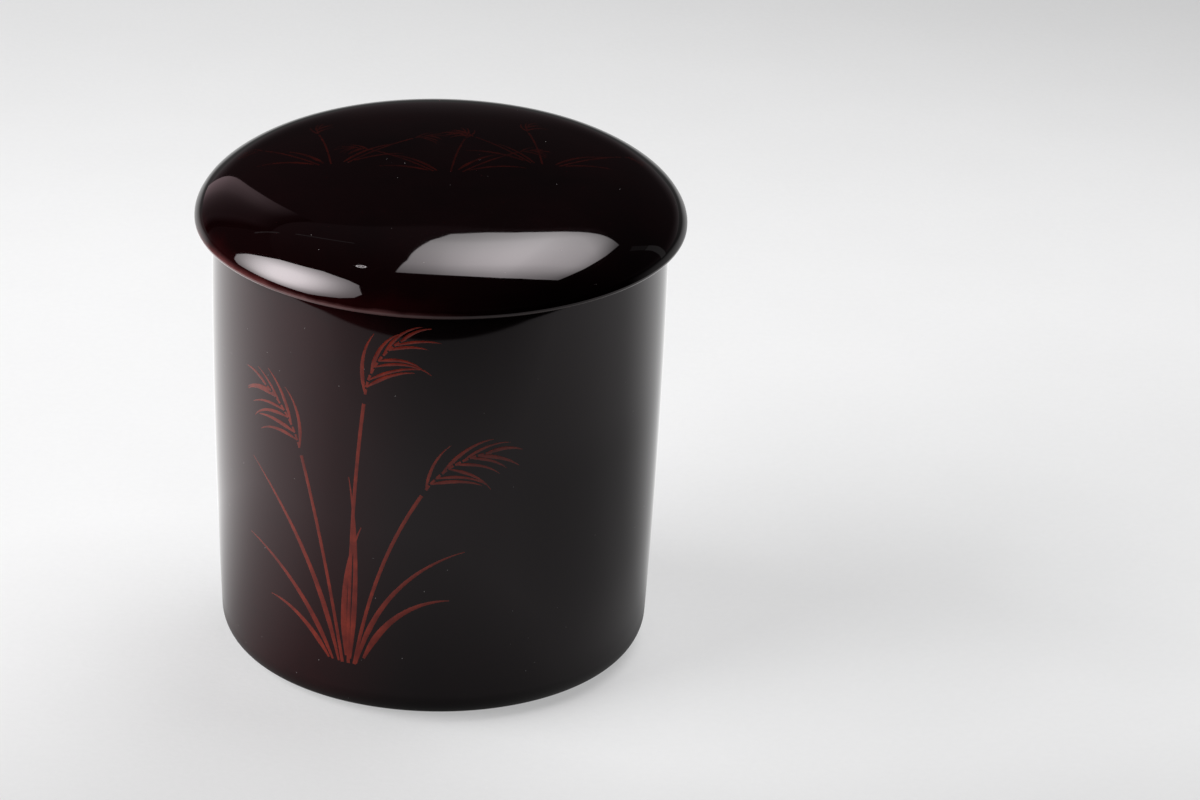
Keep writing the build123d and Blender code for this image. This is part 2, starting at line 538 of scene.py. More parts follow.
turnedWood = makeWood("turned_wood", {
    "early": rgb(0.52, 0.36, 0.21), "late": rgb(0.36, 0.22, 0.11), "fibre": rgb(0.28, 0.17, 0.09),
    "heart": (0.09, 0.04, 0.0), "ringScale": 60.0, "stretch": 0.08, "fibreScale": 900.0, "fibreShows": 0.35,
    "relief": 0.02, "roughness": (0.5, 0.7),
})
brushLacquer = makeBrushLacquer("red_brush_lacquer", {
    "full": rgb(0.27, 0.031, 0.017), "dry": rgb(0.13, 0.014, 0.010),
    "relief": 0.004, "roughness": (0.10, 0.06),
})
faintLacquer = makeBrushLacquer("faint_brush_lacquer", {
    "full": rgb(0.030, 0.0028, 0.0016), "dry": rgb(0.010, 0.0012, 0.0010),
    "relief": 0.0, "roughness": (0.03, 0.025),
})
print("finishes made")


# Turned pieces

def dome(inset, lowest=0.0):
    # points from the widest circle to the axis, moved inwards by inset and cut off below lowest
    outline = Outline(lidSize["radius"] - inset, widestHeight, 90)
    outline.bend(lid["edgeRadius"] - inset, lid["edgeTurn"])
    outline.bend(lid["haunchRadius"] - inset, lid["haunchTurn"])
    crownTurn = 180 - outline.heading
    points = outline.bend(outline.points[-1][0] / sin(radians(crownTurn)), crownTurn).points
    above = [i for i, point in enumerate(points) if point[1] > lowest][0]
    if above == 0:
        return points
    (r0, z0), (r1, z1) = points[above - 1], points[above]
    share = (lowest - z0) / (z1 - z0)
    return [(r0 + (r1 - r0) * share, lowest)] + points[above:]


def smoothDome(outline):
    # the outside of the dome: its arcs run into each other, so that nothing mirrored in it has a kink
    plain = [(0.0, 90.0)]
    radius = lidSize["radius"]
    for arc, turned in ((lid["edgeRadius"], lid["edgeTurn"]), (lid["haunchRadius"], lid["haunchTurn"])):
        length, heading = plain[-1]
        radius += arc * (sin(radians(heading + turned)) - sin(radians(heading)))
        plain.append((length + arc * radians(turned), heading + turned))
    crown = radius / sin(radians(180 - plain[-1][1]))
    total = plain[-1][0] + crown * radians(180 - plain[-1][1])
    past = lid["arcsMeetOver"]
    plain += [(total, 180.0), (total + past, 180 + degrees(past / crown))]

    def headingAt(length):
        for (l0, h0), (l1, h1) in zip(plain, plain[1:]):
            if length <= l1:
                return h0 + (h1 - h0) * (length - l0) / (l1 - l0)
        return plain[-1][1]

    steps, samples = 400, 12
    poleGap = 0.2  # no point is closer to the axis than this, but the one on it
    line, r, z, lastHeading = [], 0.0, 0.0, 90.0
    for i in range(steps):
        middle = (i + 0.5) * total / steps
        reach = min(past, middle)
        around = [headingAt(middle + reach * ((k + 0.5) / samples * 2 - 1)) for k in range(samples)]
        heading = sum(around) / samples
        r += cos(radians(heading)) * total / steps
        z += sin(radians(heading)) * total / steps
        near = line[-1] if line else (0.0, 0.0)
        gap = hypot(r - near[0], z - near[1])
        if heading - lastHeading > outlineDetail["turn"] or gap > outlineDetail["length"]:
            line.append((r, z))
            lastHeading = heading
    line = [point for point in line if point[0] > r + poleGap] + [(r, z)]
    across, up = -lidSize["radius"] / r, (lidSize["top"] - widestHeight) / z
    points = [(lidSize["radius"] + x * across, widestHeight + y * up) for x, y in line]
    return outline.join(points[:-1] + [(0.0, lidSize["top"])])


def cupWall(inset, start, corner, topRadius, top):
    wall = Outline(*start)
    wall.bend(corner, cup["cornerTurn"])
    return wall.bendTo(topRadius - inset, top)


def makeLidShell():
    bore, widest = lidLiningSize["radius"], lidSize["radius"]
    outline = Outline(0, lidSize["top"] - coat).join(dome(coat)[::-1][1:])
    outline.linesTo((widest - coat, hemHeight + coat), (bore, hemHeight + coat), (bore, hemHeight),
                    (widest - lid["hemRound"], hemHeight))
    outline.bend(lid["hemRound"], 90).lineTo(widest, widestHeight)
    smoothDome(outline)
    return turn("lid_shell", outline.points, lidLacquer)


def makeLidLining():
    thickness = liningCoat
    radius, seat = lidLiningSize["radius"], lidSeat + thickness
    outer = dome(lid["wall"] - thickness, seat)
    inner = dome(lid["wall"], lidSeat)
    outline = Outline(0, outer[-1][1]).join(outer[::-1][1:])
    outline.linesTo((radius, seat), (radius, hemHeight), (radius - thickness, hemHeight),
                    (radius - thickness, lidSeat), inner[0])
    outline.join(inner[1:])
    return turn("lid_inside", outline.points, blackLacquer)


def makeCupShell():
    footRadius, top, widest = footSize["radius"], cupSize["top"], cupSize["radius"]
    outline = cupWall(0, (footRadius, 0), cup["baseRound"], widest, top - cup["shoulderRound"])
    outline.bend(cup["shoulderRound"], 180 - outline.heading)
    inner = cupWall(coat, (footRadius, coat), cup["baseRound"] - coat, widest, top - coat).points[::-1]
    outline.linesTo((neckSize["radius"], top), (neckSize["radius"], top - coat), inner[0])
    outline.join(inner[1:])
    return turn("cup_shell", outline.points, cupLacquer, closed=True)


def makeCupLining():
    floorHeight, thickness = cupLiningSize["bottom"], liningCoat
    top, radius = cupLiningSize["top"], cupLiningSize["radius"]
    outline = Outline(0, floorHeight).lineTo(cupInside["footRadius"], floorHeight)
    outline.bend(cupInside["corner"] + thickness, cup["cornerTurn"]).bendTo(radius, top)
    inner = Outline(0, floorHeight + thickness).lineTo(cupInside["footRadius"], floorHeight + thickness)
    inner.bend(cupInside["corner"], cup["cornerTurn"]).bendTo(radius - thickness, top)
    outline.join(inner.points[::-1])
    return turn("cup_inside", outline.points, blackLacquer)


def makeNeck():
    outer, rounding = neckSize["radius"], neck["edgeRound"]
    inner = outer - neck["thickness"]
    outline = Outline(inner, neckSize["bottom"]).lineTo(outer, neckSize["bottom"])
    outline.lineTo(outer, neckSize["top"] - rounding).bend(rounding, 90)
    outline.lineTo(inner + rounding, neckSize["top"]).bend(rounding, 90)
    outline.lineTo(inner, neckSize["bottom"])
    return turn("neck", outline.points[:-1], blackLacquer, closed=True)


def makeFoot():
    outer = footSize["radius"]
    ring = outer - foot["ringWidth"]
    inner, recess = ring - foot["slope"], foot["recess"]
    outline = Outline(0, recess).linesTo((inner, recess), (ring, 0), (outer, 0), (outer, coat),
                                         (ring, coat), (inner, recess + coat), (0, recess + coat))
    return turn("foot_lacquer", outline.points, blackLacquer)


lidShell = makeLidShell()
lidInside = makeLidLining()
cupShell = makeCupShell()
cupInner = makeCupLining()
neckPiece = makeNeck()
footPiece = makeFoot()
print("turned pieces made")


# Brush strokes: drawn flat, given a low round section, then laid on the surface by rays

def makeStrokeTree(name, onWall):
    tree, given, result = newGroup(name, "GeometryNodeTree", [
        ("Strokes", "Geometry", None), ("Surface", "Object", None), ("Step", "Float", 0.0004),
        ("Relief", "Float", 0.1), ("Reach", "Float", 0.06), ("Ray Length", "Float", 0.1),
        ("Radius", "Float", 0.0337), ("Crease", "Float", radians(25)), ("Finish", "Material", None),
    ], [("Laid", "Geometry")])
    curve = addNode(tree, "GeometryNodeMeshToCurve", {"Mesh": given["Strokes"]})
    even = addNode(tree, "GeometryNodeResampleCurve", {
        "Curve": curve, "Length": given["Step"],
    }, mode="LENGTH")
    upright = addNode(tree, "GeometryNodeSetCurveNormal", {"Curve": even}, mode="Z_UP")
    width = addNode(tree, "GeometryNodeInputNamedAttribute", {"Name": "halfWidth"}, data_type="FLOAT")
    section = addNode(tree, "GeometryNodeCurvePrimitiveCircle", {"Resolution": 8, "Radius": 1.0})
    ribbon = addNode(tree, "GeometryNodeCurveToMesh", {
        "Curve": upright, "Profile Curve": section, "Scale": width, "Fill Caps": True,
    })
    parts = split(tree, addNode(tree, "GeometryNodeInputPosition"))
    lifted = product(tree, parts["Z"], given["Relief"])
    if onWall:
        angle = math(tree, "DIVIDE", parts["X"], given["Radius"])
        across, forward = math(tree, "SINE", angle), math(tree, "COSINE", angle)
        source = addNode(tree, "ShaderNodeCombineXYZ", {
            "X": product(tree, across, given["Reach"]),
            "Y": product(tree, forward, -1.0, given["Reach"]), "Z": parts["Y"],
        })
        inwards = addNode(tree, "ShaderNodeCombineXYZ", {
            "X": product(tree, across, -1.0), "Y": forward, "Z": 0.0,
        })
    else:
        source = addNode(tree, "ShaderNodeCombineXYZ", {
            "X": parts["X"], "Y": parts["Y"], "Z": given["Reach"],
        })
        inwards = addNode(tree, "ShaderNodeCombineXYZ", {"X": 0.0, "Y": 0.0, "Z": -1.0})
    surface = addNode(tree, "GeometryNodeObjectInfo", {
        "Object": given["Surface"],
    }, transform_space="RELATIVE")
    ray = addNode(tree, "GeometryNodeRaycast", {
        "Target Geometry": surface.outputs["Geometry"], "Source Position": source,
        "Ray Direction": inwards, "Ray Length": given["Ray Length"],
    })
    rise = addNode(tree, "ShaderNodeVectorMath", {
        0: ray.outputs["Hit Normal"], "Scale": lifted,
    }, operation="SCALE")
    spot = vectorMath(tree, "ADD", ray.outputs["Hit Position"], rise)[0]
    laid = addNode(tree, "GeometryNodeSetPosition", {"Geometry": ribbon, "Position": spot})
    finishTree(tree, laid, given, result)
    return tree


class StrokeSheet:
    # strokes as open chains of points in mm, with half a width at each point
    blunt = 0.12  # how much of its width a stroke keeps at its ends

    def __init__(self):
        self.points, self.edges, self.widths = [], [], []

    def stroke(self, x, y, heading, length, curl, width, swell=0.3, taper=0.55, count=14):
        angle = radians(heading)
        for i in range(count + 1):
            t = i / count
            body = min(1.0, (t + self.blunt) / swell) * (1 - t) ** taper
            self.points.append((x * mm, y * mm, 0.0))
            self.widths.append(0.5 * width * mm * max(body, self.blunt))
            if i:
                self.edges.append((len(self.points) - 2, len(self.points) - 1))
            x += length / count * cos(angle)
            y += length / count * sin(angle)
            angle += radians(curl) / count * (0.5 + t)
        return x, y, degrees(angle)

    def mesh(self, name):
        mesh = bpy.data.meshes.new(name)
        mesh.from_pydata(self.points, self.edges, [])
        width = mesh.attributes.new("halfWidth", "FLOAT", "POINT")
        width.data.foreach_set("value", self.widths)
        return mesh


brushHand = {
    # how the hand varies, as shares of what is drawn; angles in degrees, the root's shift and rise in mm
    "rootShift": 0.3, "rootRise": 1.5, "bladeWidth": (0.9, 1.3), "stemWidth": 0.55,
    "hairShortest": 0.55, "hairLength": (0.8, 1.1), "hairWidth": (0.55, 0.8), "hairDroop": (35, 70),
    "hairLean": (18, 40), "hairSpread": (0.7, 1.1), "strayHair": -0.4, "strayEvery": 3,
    "earStep": 0.09, "earTurn": 4, "earWidth": 0.4,
}


def drawPlume(sheet, draw, x, y, heading, look, side):
    # the feathery ear at the end of a stem: fine hairs that leave to one side and droop
    hand = brushHand
    least, more = hand["hairLean"]
    for k in range(look["hairs"]):
        left = 1 - k / look["hairs"]
        share = hand["hairShortest"] + (1 - hand["hairShortest"]) * left
        length = look["plume"] * share * draw.uniform(*hand["hairLength"])
        spread = side * (least + more * left) * draw.uniform(*hand["hairSpread"])
        if k % hand["strayEvery"] == 0:
            spread *= hand["strayHair"]
        droop = -side * draw.uniform(*hand["hairDroop"])
        width = look["width"] * draw.uniform(*hand["hairWidth"])
        sheet.stroke(x, y, heading - spread, length, droop, width, swell=0.4, count=12)
        step = look["plume"] * hand["earStep"]
        x, y, heading = sheet.stroke(x, y, heading, step, -side * hand["earTurn"],
                                     look["width"] * hand["earWidth"], swell=0.1, taper=0, count=3)


def drawGrass(look, seed):
    # a clump of plume grass: arching blades, and a few taller stems with feathery ears
    hand = brushHand
    draw = Random(seed)
    sheet = StrokeSheet()
    for (rootX, rootY), flip in look["roots"]:
        for lean, length, curl in look["blades"]:
            shift = draw.uniform(-hand["rootShift"], hand["rootShift"])
            x = rootX + flip * lean * look["spread"] + shift * look["size"]
            y = rootY + draw.uniform(0, hand["rootRise"]) * look["size"]
            width = look["width"] * draw.uniform(*hand["bladeWidth"])
            sheet.stroke(x, y, 90 - flip * lean, length * look["size"], -flip * curl, width,
                         swell=0.35, count=28)
        for lean, length, curl, side in look["stems"]:
            x, y = rootX + flip * lean * look["spread"], rootY
            x, y, heading = sheet.stroke(x, y, 90 - flip * lean, length * look["size"], -flip * curl,
                                         look["width"] * hand["stemWidth"], swell=0.1, taper=0, count=28)
            drawPlume(sheet, draw, x, y, heading, look, flip * side)
    return sheet


wallGrass = {
    # blades: lean, length and curl; stems: lean, length, curl and the side that the ear falls to
    "roots": [((-13.5, 8.5), 1)], "spread": 0.10, "size": 1.0, "width": 1.0, "plume": 10.0, "hairs": 10,
    "blades": [(-24, 24, -58), (-13, 34, -44), (-5, 22, 30), (6, 30, -16), (16, 27, 62), (24, 18, 70),
               (-34, 14, -60)],
    "stems": [(-9, 33, -8, -1), (1, 43, 6, 1), (11, 31, 22, 1)],
    "relief": 0.05,  # how far a stroke stands up, as a share of half its width
}
lidGrass = {
    "roots": [((-16.0, -3.0), 1), ((1.0, -7.0), -1), ((15.0, -2.0), 1)],
    "spread": 0.05, "size": 0.42, "width": 0.55, "plume": 4.0, "hairs": 7,
    "blades": [(-58, 22, -46), (-30, 20, -30), (34, 24, 46), (62, 18, 36)],
    "stems": [(-40, 28, -10, -1), (-6, 30, -8, 1), (44, 30, 12, 1)],
    "relief": 0.008, "above": 0.12,  # above: the height that the strokes are laid from, in m
}
strokeMesh = drawGrass(wallGrass, 4).mesh("grass_strokes")
grass = runTree("brushed_grass", strokeMesh, makeStrokeTree("layOnWall", True), {
    "Surface": cupShell, "Finish": brushLacquer, "Relief": wallGrass["relief"],
    "Radius": cupSize["radius"] * mm,
})
sprigMesh = drawGrass(lidGrass, 5).mesh("sprig_strokes")
sprig = runTree("brushed_sprig", sprigMesh, makeStrokeTree("layOnDome", False), {
    "Surface": lidShell, "Finish": faintLacquer, "Relief": lidGrass["relief"], "Reach": lidGrass["above"],
})
for painted in (grass, sprig):
    pointOutwards(painted.data)
    print(painted.name, "faces", len(painted.data.polygons))
print("brushwork made")

for woodNode in ("body_core", "lid_core"):
    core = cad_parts[woodNode]
    if not core.material_slots:
        core.data.materials.append(turnedWood)
    for woodSlot in core.material_slots:
        woodSlot.material = turnedWood


# Stage

def stageMesh(name, mesh):
    thing = addObject(name, mesh)
    return thing


def makeSheetMesh(name, corners):
    mesh = bpy.data.meshes.new(name)
    mesh.from_pydata(corners, [], [tuple(range(len(corners)))])
    return stageMesh(name, mesh)


def mirroredOnly(thing, strengthOf, colour=rgb(1, 1, 1)):
    # a glow that the lacquer mirrors and that nothing else sees; strengthOf(tree, place) says how
    # strong it is, and colour may be such a function too
    glow, tree = newMaterial(thing.name + "_glow")
    place = objectPlace(tree)
    strength = strengthOf(tree, place)
    if callable(colour):
        colour = colour(tree, place)
    closeMaterial(tree, addNode(tree, "ShaderNodeEmission", {"Color": colour, "Strength": strength}))
    glow.cycles.emission_sampling = "NONE"
    thing.data.materials.append(glow)
    for rays in ("camera", "diffuse", "shadow", "transmission"):
        setattr(thing, "visible_" + rays, False)


floorLook = {
    "size": 12.0, "colour": rgb(0.95, 0.95, 0.955),
    "lit": 0.56, "own": 0.45,  # how much of it is lit, so shaded by the caddy, and how much shows anyway
    "bounce": 0.45,  # how much of the lit part reaches the caddy's sides
    # painted light: the paper is painted brightest round the caddy, as a pool of light, and darker to the
    # back, the front, the right and the far right
    "falls": [
        {"towards": (0, 1, 0), "from": 0.107, "to": 0.33, "least": 0.71, "smooth": True},
        {"towards": (0, -1, 0), "from": 0.011, "to": 0.092, "least": 0.76, "smooth": True},
        {"towards": (1, 0, 0), "from": -0.053, "to": 0.157, "least": 0.90, "smooth": False},
        {"towards": (0.5, 0.866, 0), "from": 0.22, "to": 0.40, "least": 0.80, "smooth": False},
    ],
    "grain": 900.0, "mottle": 45.0, "unevenTo": 0.985, "relief": 0.03,
}


def seenRays(tree):
    # 1 where the camera sees the surface, directly or in something glossy or clear
    rays = addNode(tree, "ShaderNodeLightPath").outputs
    seen = math(tree, "MAXIMUM", rays["Is Camera Ray"], rays["Is Glossy Ray"])
    return math(tree, "MAXIMUM", seen, rays["Is Transmission Ray"])


def makeFloor():
    # white paper with a faint grain, and a painted pool of light round the caddy
    look = floorLook
    half = look["size"] / 2
    corners = [(-half, -half, 0), (half, -half, 0), (half, half, 0), (-half, half, 0)]
    floor = makeSheetMesh("floor", corners)
    material, tree = newMaterial("white_paper")
    place = objectPlace(tree)
    level = 1.0
    for fall in look["falls"]:
        way = dot(tree, place, fall["towards"])
        level = product(tree, level, remap(
            tree, way, fall["from"], fall["to"], 1.0, fall["least"], smooth=fall["smooth"]))
    grain = noiseAt(tree, place, look["grain"], 4.0)
    for uneven in (grain, noiseAt(tree, place, look["mottle"], 3.0)):
        level = product(tree, level, remap(tree, uneven, *mostNoise, look["unevenTo"], 1.0))
    seen = seenRays(tree)
    lit = product(tree, level, remap(tree, seen, 0.0, 1.0, look["bounce"], 1.0), look["lit"])
    colour = blend(tree, lit, rgb(0, 0, 0), look["colour"])
    bump = addNode(tree, "ShaderNodeBump", {"Height": grain, "Distance": look["relief"] * mm})
    paper = addNode(tree, "ShaderNodeBsdfDiffuse", {"Color": colour, "Normal": bump})
    own = product(tree, level, seen, look["own"])
    shown = addNode(tree, "ShaderNodeEmission", {"Color": look["colour"], "Strength": own})
    closeMaterial(tree, addNode(tree, "ShaderNodeAddShader", {0: paper, 1: shown}))
    floor.data.materials.append(material)


litPatch = {
    # the lit oval of floor that the cup mirrors, in mm; a direction's parts run from -1 to 1
    "across": 178.0, "deep": 168.0, "middle": 2.5, "lift": 0.2, "reach": 4000.0, "sides": 48,
    "edge": (0.6, 12.0), "edgeTurn": (-0.3, 0.1),  # half the edge's width, in front and behind
    "lightFrom": (-0.45, 0.89),  # the floor is brighter towards the light
    "levels": [(-1.0, 0.37), (-0.8, 0.41), (-0.55, 0.45), (-0.35, 0.48), (-0.15, 0.62),
               (0.05, 0.80), (0.30, 0.97), (0.60, 1.20), (0.80, 1.30), (1.0, 1.36)],
    # darker round the foot, most at the front left; in the caddy's shadow to the right
    "shadeTowards": (-0.7, -0.7), "shadeTurn": (0.0, 0.7), "shade": (0.55, 0.32), "shadeTo": (58.0, 88.0),
    "rightTurn": (0.55, 0.95),
    "rightShade": [(27, 0.30), (37, 0.66), (47, 0.82), (62, 0.76), (98, 0.78), (120, 0.95), (165, 1.15)],
    "footing": (0.15, 36.0),  # and darkest where the caddy stands
    "frontShade": (-165.0, 0.56, -100.0),  # darkest at, its level, none from
    # the floor behind the oval, from near to far
    "beyond": (0.62, 0.09), "beyondTo": 750.0, "beyondTurn": (0.0, 0.3),
    "beyondAcross": [(-1.0, 0.15), (-0.86, 0.18), (-0.80, 0.55), (-0.70, 0.95), (-0.40, 1.05),
                     (0.0, 0.92), (0.30, 0.82), (0.55, 0.72), (0.80, 0.45), (1.0, 0.22)],
}


def makeLitPatch():
    look = litPatch
    reach, lift, rim = metres((look["reach"], look["lift"], look["across"]))
    footRim = footSize["radius"] * mm
    patch = makeSheetMesh("mirrored_floor", [(x, y, lift) for x, y in circle(reach, look["sides"])])

    def inShade(tree, gap, unit, sides):
        # how much of the light is left beside the caddy: to its left, then to its right, then at its foot
        turned = dot(tree, unit, (*look["shadeTowards"], 0))
        shadeEnd = remap(tree, turned, *look["shadeTurn"], *metres(look["shadeTo"]))
        shadeLevel = remap(tree, turned, *look["shadeTurn"], *look["shade"])
        left = remap(tree, gap, footRim, shadeEnd, shadeLevel, 1.0)
        right = follow(tree, math(tree, "DIVIDE", gap, mm), look["rightShade"])
        beside = remap(tree, sides["X"], *look["rightTurn"], left, right)
        footing, footingTo = look["footing"]
        return product(tree, beside, remap(tree, gap, footRim, footingTo * mm, footing, 1.0))

    def strength(tree, place):
        flat = vectorMath(tree, "MULTIPLY", place, (1, 1, 0))[0]
        gap = vectorMath(tree, "LENGTH", flat)["Value"]
        unit = vectorMath(tree, "NORMALIZE", flat)[0]
        sides = split(tree, unit)
        bright = follow(tree, dot(tree, unit, (*look["lightFrom"], 0)), look["levels"])
        darkest, frontLevel, none = look["frontShade"]
        front = remap(tree, split(tree, flat)["Y"], darkest * mm, none * mm, frontLevel, 1.0)
        inside = product(tree, bright, inShade(tree, gap, unit, sides), front)
        outside = remap(tree, gap, rim, look["beyondTo"] * mm, *look["beyond"], smooth=True)
        outside = product(tree, outside, follow(tree, sides["X"], look["beyondAcross"]),
                          remap(tree, sides["Y"], *look["beyondTurn"], 0.0, 1.0))
        moved = vectorMath(tree, "SUBTRACT", flat, (look["middle"] * mm, 0, 0))[0]
        oval = vectorMath(tree, "MULTIPLY", moved, (1, look["across"] / look["deep"], 0))[0]
        out = vectorMath(tree, "LENGTH", oval)["Value"]
        blur = remap(tree, sides["Y"], *look["edgeTurn"], *metres(look["edge"]))
        edge = remap(tree, out, math(tree, "SUBTRACT", rim, blur), math(tree, "ADD", rim, blur),
                     1.0, 0.0, smooth=True)
        return remap(tree, edge, 0.0, 1.0, outside, inside)

    mirroredOnly(patch, strength)


darkRoom = {
    "radius": 4.0, "glow": rgb(1.0, 0.75, 0.80), "wall": 0.024, "ceiling": 0.050,
    "ceilingFrom": 44.0, "ceilingEdge": (-0.01, 0.03),  # in degrees, and how its edge is spread in m
    "horizon": 0.13, "horizonTo": 11.0, "horizonGlow": rgb(1.0, 0.94, 0.96),
    "frontLevel": 0.1, "frontToBack": (-0.3, 0.6),  # dark in front, in shares of the radius
    # from left to right
    "walls": [(-1.0, 0.72), (-0.7, 0.75), (-0.3, 1.0), (1.0, 1.0)],
    "horizonAcross": [(-1.0, 0.15), (-0.8, 0.2), (-0.6, 0.8), (-0.35, 1.0), (0.0, 0.5), (0.35, 1.0),
                      (0.6, 0.9), (0.85, 0.3), (1.0, 0.2)],
}


def makeDarkRoom():
    # a dark room round the set, with a slightly lighter ceiling, for the lacquer to mirror
    look = darkRoom
    radius = look["radius"]
    mesh = bpy.data.meshes.new("dark_room")
    work = bmesh.new()
    bmesh.ops.create_uvsphere(work, u_segments=64, v_segments=32, radius=radius)
    work.to_mesh(mesh)
    work.free()
    room = stageMesh("dark_room", mesh)

    def leftToRight(tree, parts, levels):
        return follow(tree, math(tree, "DIVIDE", parts["X"], radius), levels)

    def nearHorizon(tree, place):
        parts = split(tree, place)
        top = radius * sin(radians(look["horizonTo"]))
        low = math(tree, "POWER", remap(tree, parts["Z"], 0.0, top, 1.0, 0.0), 2.0)
        return product(tree, low, leftToRight(tree, parts, look["horizonAcross"]))

    def strength(tree, place):
        parts = split(tree, place)
        step = radius * sin(radians(look["ceilingFrom"]))
        low, high = (step + off for off in look["ceilingEdge"])
        upper = remap(tree, parts["Z"], low, high, look["wall"], look["ceiling"])
        upper = product(tree, upper, leftToRight(tree, parts, look["walls"]))
        glow = product(tree, nearHorizon(tree, place), look["horizon"])
        front, back = (share * radius for share in look["frontToBack"])
        level = remap(tree, parts["Y"], front, back, look["frontLevel"], 1.0, smooth=True)
        return product(tree, math(tree, "ADD", upper, glow), level)

    def colour(tree, place):
        return blend(tree, nearHorizon(tree, place), look["glow"], look["horizonGlow"])

    mirroredOnly(room, strength, colour)


windowLight = {
    "corners": [(-0.19, -0.07), (-0.11, 0.19), (-0.02, 0.73), (0.02, 0.87), (0.09, 0.90), (0.18, 0.88),
                (0.49, 0.75), (0.90, 0.62), (0.79, -0.25), (0.40, -0.16)],
    "height": 1.0, "strength": 8.8,  # corners and height in m
    "across": [(-0.20, 0.33), (-0.05, 0.50), (0.05, 0.73), (0.15, 0.915), (0.26, 1.0), (0.35, 0.90),
               (0.45, 0.80), (0.65, 0.66), (0.75, 0.51), (0.92, 0.20)],
    "along": [(-0.26, 0.36), (-0.15, 0.46), (-0.05, 0.64), (0.05, 0.85), (0.18, 1.0), (0.35, 0.95),
              (0.55, 0.80), (0.65, 0.70), (0.75, 0.53), (0.92, 0.33)],
    "corner": (1.10, 1.45, 0.5),  # darker in the far right corner
}


def makeWindow():
    # a big overhead diffuser, brightest in front of its lamp
    look = windowLight
    window = makeSheetMesh("window_light", [(x, y, look["height"]) for x, y in look["corners"]])

    def strength(tree, place):
        parts = split(tree, place)
        across = follow(tree, parts["X"], look["across"])
        along = follow(tree, parts["Y"], look["along"])
        near, far, least = look["corner"]
        corner = remap(tree, math(tree, "ADD", parts["X"], parts["Y"]), near, far, 1.0, least)
        return product(tree, across, along, corner, look["strength"])

    mirroredOnly(window, strength)


leftLight = {
    # across and up in m from its middle
    "towards": (-0.865, -0.204, 0.458), "distance": 1.0, "over": 0.07,
    "corners": [(0.50, -0.75), (0.59, -0.45), (0.57, -0.20), (0.30, 0.30), (0.05, 0.51), (-0.20, 0.54),
                (-0.36, 0.50), (-0.62, 0.23), (-0.67, 0.00), (-0.62, -0.28), (-0.45, -0.50), (-0.26, -0.68),
                (-0.03, -0.74)],
    "brightest": (0.02, 0.0),
    "narrower": 1.15, "above": 1.05, "below": 0.85,  # how fast it falls off each way
    "levels": [(0, 16.0), (0.15, 15.0), (0.25, 12.6), (0.35, 9.6), (0.45, 6.6), (0.55, 4.4), (0.65, 3.0),
               (0.80, 2.0)],
}


def facingSheet(name, look):
    # a sheet that faces the lid from a direction, with corners given across and up
    facing = Vector(look["towards"]).normalized()
    side = facing.cross(Vector((0, 0, 1))).normalized()
    up = side.cross(facing)
    centre = Vector((0, 0, look["over"])) + facing * look["distance"]
    return makeSheetMesh(name, [centre + side * x + up * y for x, y in look["corners"]]), centre, side, up


def onSheet(tree, place, start, side, up):
    # how far a place on a sheet is from a start, across and up
    local = vectorMath(tree, "SUBTRACT", place, start)[0]
    return dot(tree, local, side), dot(tree, local, up)


def makeLeftLight():
    light, centre, side, up = facingSheet("left_softbox", leftLight)
    brightest = centre + side * leftLight["brightest"][0] + up * leftLight["brightest"][1]

    def strength(tree, place):
        across, height = onSheet(tree, place, brightest, side, up)
        across = product(tree, across, leftLight["narrower"])
        height = math(tree, "MAXIMUM", product(tree, height, leftLight["above"]),
                      product(tree, height, -leftLight["below"]))
        squares = [product(tree, length, length) for length in (across, height)]
        gap = math(tree, "SQRT", math(tree, "ADD", *squares))
        return follow(tree, gap, leftLight["levels"])

    mirroredOnly(light, strength)


paleScreen = {
    # a pale upright screen, back left, lit along its right edge; across and up in m from its middle
    "towards": (-0.552, 0.834, 0.0), "distance": 2.0, "over": 0.07,
    "corners": [(-0.55, -0.35), (-0.55, 1.93), (0.575, 1.93), (0.56, 1.6), (0.47, 0.9), (0.38, -0.35)],
    "edge": [(-0.16, 0.0), (-0.02, 0.033), (0.12, 0.11), (0.26, 0.31), (0.40, 0.50)],  # by place across
    "edgeFall": [(0.10, 1.0), (0.35, 0.95), (0.54, 0.82), (0.93, 0.66), (1.15, 0.58), (1.40, 0.33),
                 (1.75, 0.0)],  # by height
    "rest": 0.062, "restTo": (-0.42, -0.25), "restTop": (1.45, 1.93), "colour": rgb(1.0, 0.73, 0.78),
}


def makePaleScreen():
    look = paleScreen
    screen, centre, side, up = facingSheet("pale_screen", look)

    def strength(tree, place):
        across, height = onSheet(tree, place, centre, side, up)
        edge = product(tree, follow(tree, across, look["edge"]), follow(tree, height, look["edgeFall"]))
        rest = product(tree, remap(tree, across, *look["restTo"], 0.0, look["rest"]),
                       remap(tree, height, *look["restTop"], 1.0, 0.0))
        return math(tree, "ADD", edge, rest)

    mirroredOnly(screen, strength, look["colour"])


smallLamp = {
    # a bare bulb in a dish with a bright rim; the dish itself has a share of the strength
    "towards": (-0.34, 0.02, 0.94), "distance": 1.0, "over": 0.07, "radius": 0.025, "sides": 24,
    "strength": 14.0, "dish": 0.15, "dishEnds": -0.4,
}


def makeSmallLamp():
    look = smallLamp
    corners = circle(look["radius"], look["sides"])
    lamp, centre = facingSheet("small_lamp", {**look, "corners": corners})[:2]

    def strength(tree, place):
        gap = vectorMath(tree, "DISTANCE", place, centre)["Value"]
        wave = math(tree, "COSINE", product(tree, gap, 2 * pi / look["radius"]))
        return remap(tree, wave, look["dishEnds"], 1.0, look["dish"] * look["strength"], look["strength"])

    mirroredOnly(lamp, strength)


